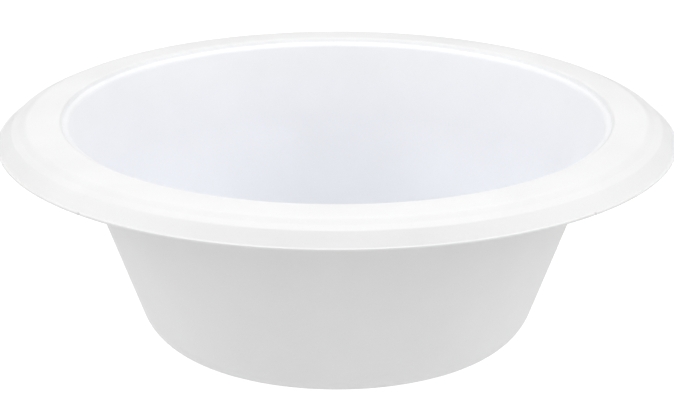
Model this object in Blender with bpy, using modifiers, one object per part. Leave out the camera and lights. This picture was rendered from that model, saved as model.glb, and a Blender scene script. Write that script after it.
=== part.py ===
"""Round one-piece bedpan: a thin shell with a sloping wall, a stepped seat flange, a skirt and a lip.

Run it with blender --background --python part.py, or from Blender's text editor.
Metres, +Z up. The origin is the centre of the face that the pan stands on. The pan is turned about Z.
"""

import math

import bmesh
import bpy
from mathutils import Matrix, Vector

# Driving dimensions, in metres. Every radius and height is that of the upper, inner face of the shell.
SHEET = 0.0013  # thickness of the shell
LIP_RADIUS = 0.164  # outer edge of the whole pan
LIP_HEIGHT = 0.1016
LIP_WIDTH = 0.0010  # flat lip turned out at the foot of the skirt
SHOULDER_RADIUS = 0.1571  # top of the skirt
SHOULDER_HEIGHT = 0.1076
CREASE_RADIUS = 0.1533  # line between the flange's slope and the border
CREASE_HEIGHT = 0.1091
BEND_RADIUS = 0.1499  # where the seat flange starts to slope down
BEND_HEIGHT = 0.1111
FLANGE_RADIUS = 0.1335  # inner edge of the seat flange
FLANGE_HEIGHT = 0.11205  # at that edge, the highest place on the pan
LEDGE_RADIUS = 0.1325  # foot of the small step inside the flange
LEDGE_HEIGHT = 0.1101
MOUTH_RADIUS = 0.1294  # corner between the ledge and the wall
MOUTH_HEIGHT = 0.10975
WALL_DRAFT = 0.374  # how far the wall leans outwards for each metre of height
PANEL_RADIUS = 0.058  # floor panel pushed up inside the foot ring
PANEL_RISE = 0.0018
PANEL_EDGE = 0.005  # width of the slope between the panel and the foot ring

# Fillets, on the upper face. One that bulges upwards is larger than SHEET, so the lower face has one too.
PANEL_FILLET = 0.006
BASE_FILLET = 0.0232
MOUTH_FILLET = 0.0026
LEDGE_FILLET = 0.0005
FLANGE_FILLET = 0.0015
BEND_FILLET = 0.006
CREASE_FILLET = 0.0008
SHOULDER_FILLET = 0.003
LIP_FILLET = 0.0008

# Trim notches in the lip, one in the middle of each quarter.
NOTCH_COUNT = 4
NOTCH_RADIUS = 0.0007
NOTCH_SEGMENTS = 10
CUT_MARGIN = 0.002  # how far a cutter reaches past the lip, above and below

SEGMENTS = 72  # faces round the pan
ARC_STEP = math.radians(19)  # largest turn between two faces of a fillet
MERGE = 0.00001

WHITE = (0.86, 0.865, 0.875, 1.0)
ROUGHNESS = 0.34


def clear_scene():
    """Removes everything that the start-up file holds."""
    for obj in list(bpy.data.objects):
        bpy.data.objects.remove(obj)


def new_collection(name):
    collection = bpy.data.collections.new(name)
    bpy.context.scene.collection.children.link(collection)
    return collection


def add_object(name, mesh, collection):
    obj = bpy.data.objects.new(name, mesh)
    collection.objects.link(obj)
    return obj


def white_plastic():
    """Satin white polymer, the same through the whole shell."""
    material = bpy.data.materials.new("white_plastic")
    material.use_nodes = True
    shader = material.node_tree.nodes["Principled BSDF"]
    shader.inputs["Base Color"].default_value = WHITE
    shader.inputs["Roughness"].default_value = ROUGHNESS
    shader.inputs["Metallic"].default_value = 0.0
    return material


def rounded(before, corner, after, radius):
    """Points of the arc that rounds a corner of the section, from the side of before to the side of after."""
    into = (corner - before).normalized()
    out = (after - corner).normalized()
    turn = into.angle_signed(out)
    start = corner - into * radius * math.tan(abs(turn) / 2)
    centre = start + Vector((into.y, -into.x)) * math.copysign(radius, turn)
    steps = max(2, math.ceil(abs(turn) / ARC_STEP))
    spoke = start - centre
    return [centre + Matrix.Rotation(-turn * i / steps, 2) @ spoke for i in range(steps + 1)]


def upper_section():
    """The shell's upper face as (radius, height), from the middle of the floor out to the edge of the lip."""
    floor = SHEET
    base_radius = MOUTH_RADIUS - WALL_DRAFT * (MOUTH_HEIGHT - floor)
    corners = [
        (0.0, floor + PANEL_RISE, 0.0),
        (PANEL_RADIUS, floor + PANEL_RISE, PANEL_FILLET),
        (PANEL_RADIUS + PANEL_EDGE, floor, PANEL_FILLET),
        (base_radius, floor, BASE_FILLET),
        (MOUTH_RADIUS, MOUTH_HEIGHT, MOUTH_FILLET),
        (LEDGE_RADIUS, LEDGE_HEIGHT, LEDGE_FILLET),
        (FLANGE_RADIUS, FLANGE_HEIGHT, FLANGE_FILLET),
        (BEND_RADIUS, BEND_HEIGHT, BEND_FILLET),
        (CREASE_RADIUS, CREASE_HEIGHT, CREASE_FILLET),
        (SHOULDER_RADIUS, SHOULDER_HEIGHT, SHOULDER_FILLET),
        (LIP_RADIUS - LIP_WIDTH, LIP_HEIGHT, LIP_FILLET),
        (LIP_RADIUS, LIP_HEIGHT, 0.0),
    ]
    places = [Vector((radius, height)) for radius, height, _ in corners]
    points = [places[0]]
    for i in range(1, len(corners) - 1):
        points += rounded(places[i - 1], places[i], places[i + 1], corners[i][2])
    points.append(places[-1])
    return points


def section_mesh(points):
    """The section as a chain of edges in the XZ plane."""
    mesh = bpy.data.meshes.new("shell_section")
    edges = [(i, i + 1) for i in range(len(points) - 1)]
    mesh.from_pydata([(p.x, 0.0, p.y) for p in points], edges, [])
    return mesh


def make_shell(collection):
    """The pan: its section turned about Z, then thickened downwards and outwards."""
    shell = add_object("pan_shell", section_mesh(upper_section()), collection)
    turned = shell.modifiers.new("turn", "SCREW")
    turned.steps = SEGMENTS
    turned.render_steps = SEGMENTS
    turned.use_merge_vertices = True
    turned.merge_threshold = MERGE
    turned.use_smooth_shade = True
    sheet = shell.modifiers.new("sheet", "SOLIDIFY")
    sheet.thickness = SHEET
    sheet.offset = -1.0
    sheet.use_even_offset = True
    return shell


def notch_cutter(angle, collection):
    """An upright pin centred on the edge of the lip, which it bites a half-round notch out of."""
    mesh = bpy.data.meshes.new("notch_pin")
    pin = bmesh.new()
    bmesh.ops.create_cone(
        pin,
        cap_ends=True,
        segments=NOTCH_SEGMENTS,
        radius1=NOTCH_RADIUS,
        radius2=NOTCH_RADIUS,
        depth=SHEET + 2 * CUT_MARGIN,
    )
    pin.to_mesh(mesh)
    pin.free()
    cutter = add_object("notch_cutter", mesh, collection)
    across = Vector((LIP_RADIUS * math.cos(angle), LIP_RADIUS * math.sin(angle)))
    cutter.location = (across.x, across.y, LIP_HEIGHT - SHEET / 2)
    cutter.rotation_euler = (0.0, 0.0, angle)
    cutter.hide_render = True
    cutter.display_type = "WIRE"
    return cutter


def cut_notches(shell, cutters):
    """Cuts the trim notches in the lip."""
    for i in range(NOTCH_COUNT):
        angle = math.tau * (i + 0.5) / NOTCH_COUNT
        cut = shell.modifiers.new(f"notch_{i + 1}", "BOOLEAN")
        cut.operation = "DIFFERENCE"
        cut.solver = "EXACT"
        cut.object = notch_cutter(angle, cutters)


def main():
    clear_scene()
    bedpan = new_collection("bedpan")
    cutters = new_collection("cutters")
    shell = make_shell(bedpan)
    cut_notches(shell, cutters)
    shell.data.materials.append(white_plastic())


main()
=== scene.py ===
"""A round white bedpan on a pale studio floor: one thin shell with a seat flange, a skirt and a lip."""

import math

import bmesh
import bpy
from mathutils import Matrix, Vector


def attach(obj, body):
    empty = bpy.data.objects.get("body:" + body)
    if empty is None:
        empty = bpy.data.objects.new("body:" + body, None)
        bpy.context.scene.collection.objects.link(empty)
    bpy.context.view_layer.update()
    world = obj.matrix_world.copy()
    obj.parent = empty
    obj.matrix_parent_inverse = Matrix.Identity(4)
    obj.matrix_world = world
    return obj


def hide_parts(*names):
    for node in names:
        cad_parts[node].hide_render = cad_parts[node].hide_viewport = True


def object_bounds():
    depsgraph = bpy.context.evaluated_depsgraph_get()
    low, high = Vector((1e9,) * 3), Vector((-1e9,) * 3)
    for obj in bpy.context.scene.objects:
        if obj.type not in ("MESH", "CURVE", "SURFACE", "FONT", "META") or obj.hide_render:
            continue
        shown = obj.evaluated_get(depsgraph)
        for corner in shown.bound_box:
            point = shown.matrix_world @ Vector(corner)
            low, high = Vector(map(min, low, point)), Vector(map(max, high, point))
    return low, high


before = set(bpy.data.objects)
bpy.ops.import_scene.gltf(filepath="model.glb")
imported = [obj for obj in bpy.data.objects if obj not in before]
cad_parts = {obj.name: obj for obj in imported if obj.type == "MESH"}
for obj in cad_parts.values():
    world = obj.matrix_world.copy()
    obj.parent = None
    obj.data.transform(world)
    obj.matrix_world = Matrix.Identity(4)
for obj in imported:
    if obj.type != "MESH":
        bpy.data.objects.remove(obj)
cad_low, cad_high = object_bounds()

LIP_RADIUS = (cad_high.x - cad_low.x) / 2
MM = LIP_RADIUS / 164  # one millimetre of a pan that is 328 mm across

# The section of the pan. Every radius and height is that of the shell's upper, inner face.
SHEET = 1.3 * MM  # thickness of the shell
LIP_HEIGHT = 101.6 * MM
LIP_WIDTH = 1.0 * MM
SHOULDER_RADIUS = 157.1 * MM  # top of the skirt
SHOULDER_HEIGHT = 107.6 * MM
CREASE_RADIUS = 153.3 * MM  # line between the flange's slope and the border
CREASE_HEIGHT = 109.1 * MM
BEND_RADIUS = 149.9 * MM  # where the seat flange starts to slope down
BEND_HEIGHT = 111.1 * MM
FLANGE_RADIUS = 133.5 * MM  # inner edge of the seat flange
FLANGE_HEIGHT = 112.05 * MM
LEDGE_RADIUS = 132.5 * MM  # foot of the small step inside the flange
LEDGE_HEIGHT = 110.1 * MM
MOUTH_RADIUS = 129.4 * MM  # corner between the ledge and the wall
MOUTH_HEIGHT = 109.75 * MM
WALL_DRAFT = 0.374  # how far the wall leans outwards for each unit of height
PANEL_RADIUS = 58 * MM  # floor panel pushed up inside the foot ring
PANEL_RISE = 1.8 * MM
PANEL_EDGE = 5 * MM

PANEL_FILLET = 6 * MM
BASE_FILLET = 23.2 * MM
MOUTH_FILLET = 2.6 * MM
LEDGE_FILLET = 0.5 * MM
FLANGE_FILLET = 1.5 * MM
BEND_FILLET = 6 * MM
CREASE_FILLET = 0.8 * MM
SHOULDER_FILLET = 3 * MM
LIP_FILLET = 0.8 * MM
EDGE_ROUNDING = 0.4 * MM  # on the trimmed edge of the lip
EDGE_SEGMENTS = 3

# Trim notches in the lip, one in the middle of each quarter.
NOTCH_COUNT = 4
NOTCH_RADIUS = 0.7 * MM
NOTCH_PIN_LENGTH = 5 * MM
NOTCH_SEGMENTS = 24

# How finely the shell is divided.
SEGMENTS = 240  # faces round the pan
ARC_STEP = math.radians(6)  # largest turn between two faces of a fillet
LEAST_ARC_STEPS = 2  # faces in the smallest fillet
LONG_FACE = 8 * MM  # a straight stretch of the section is split into faces no longer than this
MERGE = 0.01 * MM
SHARP_ANGLE = math.radians(40)

# Looks of the plastic, with painted light and painted cool shade inside the pan. A pair is the value at a
# noise's low end, then at its high end.
WHITE = (0.86, 0.86, 0.86, 1.0)
MOUTH_PAINTED_LIGHT = (0.905, 0.91, 0.926, 1.0)  # painted light high inside the pan, for the light that comes through the thin shell
DEEP_PAINTED_SHADE = (0.826, 0.838, 0.872, 1.0)  # painted cool shade lower inside the pan
WORN_WHITE = (0.70, 0.70, 0.69, 1.0)
# heights over which the painted light at the mouth fades into the painted shade lower down
PAINTED_LIGHT_HEIGHT = 105 * MM
PAINTED_SHADE_HEIGHT = 75 * MM
FACES_UP = 0.2  # upward part of a face's unit normal at which it takes the painted light and shade in full
NOISE_LOW = 0.3
NOISE_HIGH = 0.7
MOTTLE_SIZE = 30 * MM  # soft light and dark patches of the moulding
MOTTLE_DETAIL = 3
MOTTLE_SHADE = (0.985, 1.01)
MOTTLE_ROUGHNESS = (0.43, 0.53)
MOTTLE_DEPTH = 0.25 * MM
MOTTLE_BUMP = 0.2
GRAIN_SIZE = 1.1 * MM  # texture of the mould's face
GRAIN_DETAIL = 2
GRAIN_SHADE = (0.993, 1.005)
GRAIN_DEPTH = 0.02 * MM
GRAIN_BUMP = 0.5
SCUFF_WIDTH = 0.9 * MM  # how far wear reaches from an edge
SCUFF_TURN = 0.93  # cosine of the turn near an edge at which it is scuffed in full
SCUFF_SIZE = 5 * MM
SCUFF_DETAIL = 4
SCUFF_LOW = 0.42  # noise at which scuffs begin
SCUFF_HIGH = 0.62
SCUFF_COLOUR = 0.25  # share of WORN_WHITE in a scuff
SCUFF_ROUGHNESS = 0.2
BEVEL_SAMPLES = 6

# The studio.
EYE_DISTANCE = 1485 * MM
EYE_ELEVATION = math.radians(21.47)
AIM_HEIGHT = 67.8 * MM
LENS = 159.8  # in millimetres, as SENSOR_WIDTH is
SENSOR_WIDTH = 36
LAMP_DISTANCE = 1.5  # in metres, as FLOOR_SIZE is
LAMPS = [  # name, degrees round from the camera, degrees up, width in metres, watts
    ("overhead", 0, 90, 1.4, 4.6),
    ("back", 180, 60, 1.2, 4.7),
    ("left", -90, 40, 1.0, 7.8),
    ("right", 90, 40, 1.0, 7.5),
    ("front", 0, 42, 0.9, 1.3),
    ("front_left", -50, 30, 0.8, 3.2),
    ("front_right", 50, 30, 0.8, 3.5),
]
SKY_STRENGTH = 0.24
FLOOR_SIZE = 10
FLOOR_GAP = 0.2 * MM  # below the pan's foot, so that the two faces don't coincide
FLOOR_GREY = (0.5, 0.5, 0.5, 1.0)
GLOW_WHITE = (1.0, 1.0, 1.0, 1.0)
GLOW_NEAR = 0.46  # light that the floor gives off under the pan
GLOW_FAR = 0.27  # and away from it
GLOW_START = 80 * MM  # it starts to fade this far from the middle, and is down to GLOW_FAR at GLOW_END
GLOW_END = 300 * MM
FLOOR_SHINE = 0.42  # more of it, that only the camera sees


def add_object(name, data):
    """A new object in the scene that holds the given mesh, lamp or camera."""
    obj = bpy.data.objects.new(name, data)
    bpy.context.scene.collection.objects.link(obj)
    return obj


def rounded(before, corner, after, radius):
    """Points of the arc that rounds a corner of the section, from the side of before to the side of after."""
    into = (corner - before).normalized()
    out = (after - corner).normalized()
    turn = into.angle_signed(out)
    start = corner - into * radius * math.tan(abs(turn) / 2)
    centre = start + Vector((into.y, -into.x)) * math.copysign(radius, turn)
    steps = max(LEAST_ARC_STEPS, math.ceil(abs(turn) / ARC_STEP))
    spoke = start - centre
    return [centre + Matrix.Rotation(-turn * i / steps, 2) @ spoke for i in range(steps + 1)]


def split_long(points):
    """Adds points along the long straight stretches of a section."""
    result = [points[0]]
    for start, end in zip(points, points[1:]):
        pieces = math.ceil((end - start).length / LONG_FACE)
        result += [start.lerp(end, i / pieces) for i in range(1, pieces + 1)]
    return result


def upper_section():
    """The shell's upper face as (radius, height), from the middle of the floor out to the edge of the lip."""
    base_radius = MOUTH_RADIUS - WALL_DRAFT * (MOUTH_HEIGHT - SHEET)
    corners = [
        (0.0, SHEET + PANEL_RISE, 0.0),
        (PANEL_RADIUS, SHEET + PANEL_RISE, PANEL_FILLET),
        (PANEL_RADIUS + PANEL_EDGE, SHEET, PANEL_FILLET),
        (base_radius, SHEET, BASE_FILLET),
        (MOUTH_RADIUS, MOUTH_HEIGHT, MOUTH_FILLET),
        (LEDGE_RADIUS, LEDGE_HEIGHT, LEDGE_FILLET),
        (FLANGE_RADIUS, FLANGE_HEIGHT, FLANGE_FILLET),
        (BEND_RADIUS, BEND_HEIGHT, BEND_FILLET),
        (CREASE_RADIUS, CREASE_HEIGHT, CREASE_FILLET),
        (SHOULDER_RADIUS, SHOULDER_HEIGHT, SHOULDER_FILLET),
        (LIP_RADIUS - LIP_WIDTH, LIP_HEIGHT, LIP_FILLET),
        (LIP_RADIUS, LIP_HEIGHT, 0.0),
    ]
    places = [Vector((radius, height)) for radius, height, _ in corners]
    points = [places[0]]
    for i in range(1, len(corners) - 1):
        points += rounded(places[i - 1], places[i], places[i + 1], corners[i][2])
    points.append(places[-1])
    return split_long(points)


def notch_pins():
    """Upright pins centred on the edge of the lip. Each bites a half-round notch out of it."""
    pins = bmesh.new()
    for i in range(NOTCH_COUNT):
        angle = math.tau * (i + 0.5) / NOTCH_COUNT
        place = (LIP_RADIUS * math.cos(angle), LIP_RADIUS * math.sin(angle), LIP_HEIGHT - SHEET / 2)
        bmesh.ops.create_cone(
            pins,
            cap_ends=True,
            segments=NOTCH_SEGMENTS,
            radius1=NOTCH_RADIUS,
            radius2=NOTCH_RADIUS,
            depth=NOTCH_PIN_LENGTH,
            matrix=Matrix.Translation(place),
        )
    mesh = bpy.data.meshes.new("notch_pins")
    pins.to_mesh(mesh)
    pins.free()
    return add_object("notch_pins", mesh)


def build_pan():
    """The section turned about Z and thickened, with its edge rounded and its notches cut, as one mesh."""
    points = upper_section()
    section = bpy.data.meshes.new("section")
    edges = [(i, i + 1) for i in range(len(points) - 1)]
    section.from_pydata([(p.x, 0.0, p.y) for p in points], edges, [])
    shell = add_object("shell", section)
    turned = shell.modifiers.new("turn", "SCREW")
    turned.steps = SEGMENTS
    turned.render_steps = SEGMENTS
    turned.use_merge_vertices = True
    turned.merge_threshold = MERGE
    sheet = shell.modifiers.new("sheet", "SOLIDIFY")
    sheet.thickness = SHEET
    sheet.offset = -1.0
    sheet.use_even_offset = True
    edge = shell.modifiers.new("edge", "BEVEL")
    edge.width = EDGE_ROUNDING
    edge.segments = EDGE_SEGMENTS
    edge.angle_limit = SHARP_ANGLE
    pins = notch_pins()
    notches = shell.modifiers.new("notches", "BOOLEAN")
    notches.operation = "DIFFERENCE"
    notches.solver = "EXACT"
    notches.object = pins
    finished = shell.evaluated_get(bpy.context.evaluated_depsgraph_get())
    mesh = bpy.data.meshes.new_from_object(finished)
    mesh.shade_smooth()
    mesh.set_sharp_from_angle(angle=SHARP_ANGLE)
    bpy.data.objects.remove(shell)
    bpy.data.objects.remove(pins)
    return add_object("pan", mesh)


def feed(tree, socket, value):
    """Links value to a node's input where it is another node's output, and sets the input to it otherwise."""
    if isinstance(value, bpy.types.NodeSocket):
        tree.links.new(value, socket)
    else:
        socket.default_value = value


def add_node(tree, kind, inputs, **settings):
    """Adds a shader node. The inputs go by name, or by number where two share a name."""
    node = tree.nodes.new(kind)
    for name, value in settings.items():
        setattr(node, name, value)
    for key, value in inputs.items():
        feed(tree, node.inputs[key], value)
    return node


def calculate(tree, operation, first, second):
    """A math node's result."""
    return add_node(tree, "ShaderNodeMath", {0: first, 1: second}, operation=operation).outputs["Value"]


def ramp(tree, value, start, end, low=0.0, high=1.0):
    """value from start to end, mapped to low to high and held at both."""
    inputs = {"Value": value, "From Min": start, "From Max": end, "To Min": low, "To Max": high}
    return add_node(tree, "ShaderNodeMapRange", inputs).outputs["Result"]


def mix_colour(tree, share, first, second):
    """first, with a share of second mixed in."""
    return add_node(tree, "ShaderNodeMix", {0: share, 6: first, 7: second}, data_type="RGBA").outputs[2]


def noise(tree, place, size, detail):
    """Noise from 0 to 1 whose patches are about size across."""
    inputs = {"Vector": place, "Scale": 1 / size, "Detail": detail}
    return add_node(tree, "ShaderNodeTexNoise", inputs).outputs[0]


def spread(tree, value, pair):
    """Noise mapped to a pair of values."""
    return ramp(tree, value, NOISE_LOW, NOISE_HIGH, pair[0], pair[1])


def bump(tree, height, depth, strength, **below):
    """The surface's tilt where height says how far it stands out, over another tilt if one is given."""
    inputs = {"Height": height, "Distance": depth, "Strength": strength, **below}
    return add_node(tree, "ShaderNodeBump", inputs).outputs["Normal"]


def edge_wear(tree, place):
    """1 where an edge is scuffed, 0 elsewhere: the surface's turn near an edge, broken up by noise."""
    across = add_node(tree, "ShaderNodeBevel", {"Radius": SCUFF_WIDTH}, samples=BEVEL_SAMPLES)
    surface = tree.nodes.new("ShaderNodeNewGeometry")
    normals = {0: across.outputs["Normal"], 1: surface.outputs["Normal"]}
    turn = add_node(tree, "ShaderNodeVectorMath", normals, operation="DOT_PRODUCT")
    near_edge = ramp(tree, turn.outputs["Value"], 1.0, SCUFF_TURN)
    scuffs = ramp(tree, noise(tree, place, SCUFF_SIZE, SCUFF_DETAIL), SCUFF_LOW, SCUFF_HIGH)
    return calculate(tree, "MULTIPLY", near_edge, scuffs)


def painted_share(tree, spot):
    """Where the painted light and shade go: 1 on the upper face inside the flange, 0 on the flange, the
    outside and the underside.
    """
    surface = tree.nodes.new("ShaderNodeNewGeometry")
    normal = add_node(tree, "ShaderNodeSeparateXYZ", {0: surface.outputs["Normal"]})
    level = add_node(tree, "ShaderNodeCombineXYZ", {"X": spot.outputs["X"], "Y": spot.outputs["Y"]})
    radius = add_node(tree, "ShaderNodeVectorMath", {0: level.outputs[0]}, operation="LENGTH")
    inside = ramp(tree, radius.outputs["Value"], FLANGE_RADIUS, LEDGE_RADIUS)
    return calculate(tree, "MULTIPLY", inside, ramp(tree, normal.outputs["Z"], 0.0, FACES_UP))


def plastic_colour_with_painted_light(tree, place, mottle, grain, wear):
    """White with a soft mottle and grain, painted light at the pan's mouth, painted cool shade lower inside,
    and duller on scuffed edges.
    """
    spot = add_node(tree, "ShaderNodeSeparateXYZ", {0: place})
    # painted light at the mouth, fading into painted cool shade lower inside the pan
    depth = ramp(tree, spot.outputs["Z"], PAINTED_LIGHT_HEIGHT, PAINTED_SHADE_HEIGHT)
    painted_light_and_shade = mix_colour(tree, depth, MOUTH_PAINTED_LIGHT, DEEP_PAINTED_SHADE)
    colour = mix_colour(tree, painted_share(tree, spot), WHITE, painted_light_and_shade)
    shade = calculate(tree, "MULTIPLY", spread(tree, mottle, MOTTLE_SHADE), spread(tree, grain, GRAIN_SHADE))
    shaded = add_node(tree, "ShaderNodeVectorMath", {0: colour, "Scale": shade}, operation="SCALE")
    worn = calculate(tree, "MULTIPLY", wear, SCUFF_COLOUR)
    return mix_colour(tree, worn, shaded.outputs[0], WORN_WHITE)


def white_plastic():
    """Satin white moulded plastic with a soft mottle, a fine grain, scuffed edges and painted light and shade
    inside the pan.
    """
    material = bpy.data.materials.new("white_plastic")
    material.use_nodes = True
    tree = material.node_tree
    shader = tree.nodes["Principled BSDF"]
    place = tree.nodes.new("ShaderNodeTexCoord").outputs["Object"]
    mottle = noise(tree, place, MOTTLE_SIZE, MOTTLE_DETAIL)
    grain = noise(tree, place, GRAIN_SIZE, GRAIN_DETAIL)
    wear = edge_wear(tree, place)
    rough_wear = calculate(tree, "MULTIPLY", wear, SCUFF_ROUGHNESS)
    roughness = calculate(tree, "ADD", spread(tree, mottle, MOTTLE_ROUGHNESS), rough_wear)
    waves = bump(tree, mottle, MOTTLE_DEPTH, MOTTLE_BUMP)
    feed(tree, shader.inputs["Base Color"], plastic_colour_with_painted_light(tree, place, mottle, grain, wear))
    feed(tree, shader.inputs["Roughness"], roughness)
    feed(tree, shader.inputs["Normal"], bump(tree, grain, GRAIN_DEPTH, GRAIN_BUMP, Normal=waves))
    return material


def pale_floor():
    """Matt grey that gives off white light, as a light table does, and looks brighter still to the camera."""
    material = bpy.data.materials.new("floor")
    material.use_nodes = True
    tree = material.node_tree
    shader = tree.nodes["Principled BSDF"]
    place = tree.nodes.new("ShaderNodeTexCoord").outputs["Object"]
    distance = add_node(tree, "ShaderNodeVectorMath", {0: place}, operation="LENGTH")
    glow = ramp(tree, distance.outputs["Value"], GLOW_START, GLOW_END, GLOW_NEAR, GLOW_FAR)
    seen = tree.nodes.new("ShaderNodeLightPath").outputs["Is Camera Ray"]
    shine = calculate(tree, "MULTIPLY", seen, FLOOR_SHINE)
    feed(tree, shader.inputs["Base Color"], FLOOR_GREY)
    feed(tree, shader.inputs["Roughness"], 1.0)
    feed(tree, shader.inputs["Specular IOR Level"], 0.0)
    feed(tree, shader.inputs["Emission Color"], GLOW_WHITE)
    feed(tree, shader.inputs["Emission Strength"], calculate(tree, "ADD", glow, shine))
    return material


def build_floor():
    """The wide plain floor that the pan stands on."""
    bpy.ops.mesh.primitive_plane_add(size=FLOOR_SIZE, location=(0, 0, -FLOOR_GAP))
    floor = bpy.context.object
    floor.name = "floor"
    floor.data.materials.append(pale_floor())


def look_at(obj, target):
    """Turns a camera or a lamp to face a place."""
    obj.rotation_mode = "QUATERNION"
    obj.rotation_quaternion = (target - obj.location).to_track_quat("-Z", "Y")


def around(degrees_round, elevation, distance):
    """A place round the origin, with 0 degrees round on the camera's side."""
    turn = math.radians(degrees_round)
    level = distance * math.cos(elevation)
    return Vector((level * math.sin(turn), -level * math.cos(turn), distance * math.sin(elevation)))


def build_camera():
    """The camera, which looks down on the pan from the front."""
    camera = add_object("camera", bpy.data.cameras.new("camera"))
    camera.location = around(0, EYE_ELEVATION, EYE_DISTANCE)
    look_at(camera, Vector((0, 0, AIM_HEIGHT)))
    camera.data.sensor_width = SENSOR_WIDTH
    camera.data.lens = LENS
    bpy.context.scene.camera = camera


def build_lamps():
    """Square softboxes round the pan and above it, which all face the origin."""
    for name, degrees_round, degrees_up, width, watts in LAMPS:
        lamp = bpy.data.lights.new(name, "AREA")
        lamp.size = width
        lamp.energy = watts
        softbox = add_object(name, lamp)
        softbox.location = around(degrees_round, math.radians(degrees_up), LAMP_DISTANCE)
        look_at(softbox, Vector((0, 0, 0)))


def build_sky():
    """Even white light from all round."""
    sky = bpy.data.worlds.new("studio")
    sky.use_nodes = True
    background = sky.node_tree.nodes["Background"]
    background.inputs["Color"].default_value = GLOW_WHITE
    background.inputs["Strength"].default_value = SKY_STRENGTH
    bpy.context.scene.world = sky


pan = build_pan()
pan.data.materials.append(white_plastic())
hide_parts("pan_shell")
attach(pan, "root")
build_floor()
build_camera()
build_lamps()
build_sky()
bpy.context.scene.view_settings.view_transform = "Standard"
